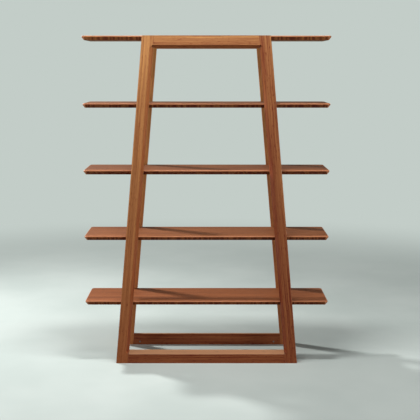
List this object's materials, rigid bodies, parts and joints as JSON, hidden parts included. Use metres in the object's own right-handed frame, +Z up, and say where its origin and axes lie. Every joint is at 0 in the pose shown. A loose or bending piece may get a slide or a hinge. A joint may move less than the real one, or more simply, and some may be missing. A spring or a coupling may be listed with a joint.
{
  "type": "ladder shelf",
  "caption": "Open bookcase: two trapezoid wooden frames of splayed legs and rails, front and rear, hold long shelves that overhang both sides.",
  "frame": {"origin": "on the floor, under the middle of the bookcase", "axes": "+Z up, +X along the shelves to the right as seen from the front, the front faces -Y"},
  "size_m": [1.37, 0.406, 1.829],
  "materials": {
    "leg_wood": "satin lacquer over stained bamboo, grain along the leg",
    "rail_wood": "satin lacquer over stained bamboo, grain along the rail",
    "shelf_wood": "satin lacquer over stained bamboo, grain along the shelf",
    "dowel_wood": "raw turned beech",
    "zinc_steel": "zinc-plated steel"
  },
  "bodies": {
    "root": {"front_left_leg": "leg_wood", "front_right_leg": "leg_wood", "front_top_rail": "rail_wood", "front_bottom_rail": "rail_wood", "rear_left_leg": "leg_wood", "rear_right_leg": "leg_wood", "rear_top_rail": "rail_wood", "rear_bottom_rail": "rail_wood", "shelf_1": "shelf_wood", "shelf_2": "shelf_wood", "shelf_3": "shelf_wood", "shelf_4": "shelf_wood", "shelf_5": "shelf_wood", "front_top_left_bolt": "zinc_steel", "front_top_left_barrel_nut": "zinc_steel", "front_top_left_dowel": "dowel_wood", "front_top_right_bolt": "zinc_steel", "front_top_right_barrel_nut": "zinc_steel", "front_top_right_dowel": "dowel_wood", "front_bottom_left_bolt": "zinc_steel", "front_bottom_left_barrel_nut": "zinc_steel", "front_bottom_left_dowel": "dowel_wood", "front_bottom_right_bolt": "zinc_steel", "front_bottom_right_barrel_nut": "zinc_steel", "front_bottom_right_dowel": "dowel_wood", "rear_top_left_bolt": "zinc_steel", "rear_top_left_barrel_nut": "zinc_steel", "rear_top_left_dowel": "dowel_wood", "rear_top_right_bolt": "zinc_steel", "rear_top_right_barrel_nut": "zinc_steel", "rear_top_right_dowel": "dowel_wood", "rear_bottom_left_bolt": "zinc_steel", "rear_bottom_left_barrel_nut": "zinc_steel", "rear_bottom_left_dowel": "dowel_wood", "rear_bottom_right_bolt": "zinc_steel", "rear_bottom_right_barrel_nut": "zinc_steel", "rear_bottom_right_dowel": "dowel_wood", "shelf_1_front_left_dowel": "dowel_wood", "shelf_1_front_right_dowel": "dowel_wood", "shelf_1_rear_left_dowel": "dowel_wood", "shelf_1_rear_right_dowel": "dowel_wood", "shelf_2_front_left_dowel": "dowel_wood", "shelf_2_front_right_dowel": "dowel_wood", "shelf_2_rear_left_dowel": "dowel_wood", "shelf_2_rear_right_dowel": "dowel_wood", "shelf_3_front_left_dowel": "dowel_wood", "shelf_3_front_right_dowel": "dowel_wood", "shelf_3_rear_left_dowel": "dowel_wood", "shelf_3_rear_right_dowel": "dowel_wood", "shelf_4_front_left_dowel": "dowel_wood", "shelf_4_front_right_dowel": "dowel_wood", "shelf_4_rear_left_dowel": "dowel_wood", "shelf_4_rear_right_dowel": "dowel_wood", "shelf_5_front_left_dowel": "dowel_wood", "shelf_5_front_right_dowel": "dowel_wood", "shelf_5_rear_left_dowel": "dowel_wood", "shelf_5_rear_right_dowel": "dowel_wood"}
  },
  "joints": []
}
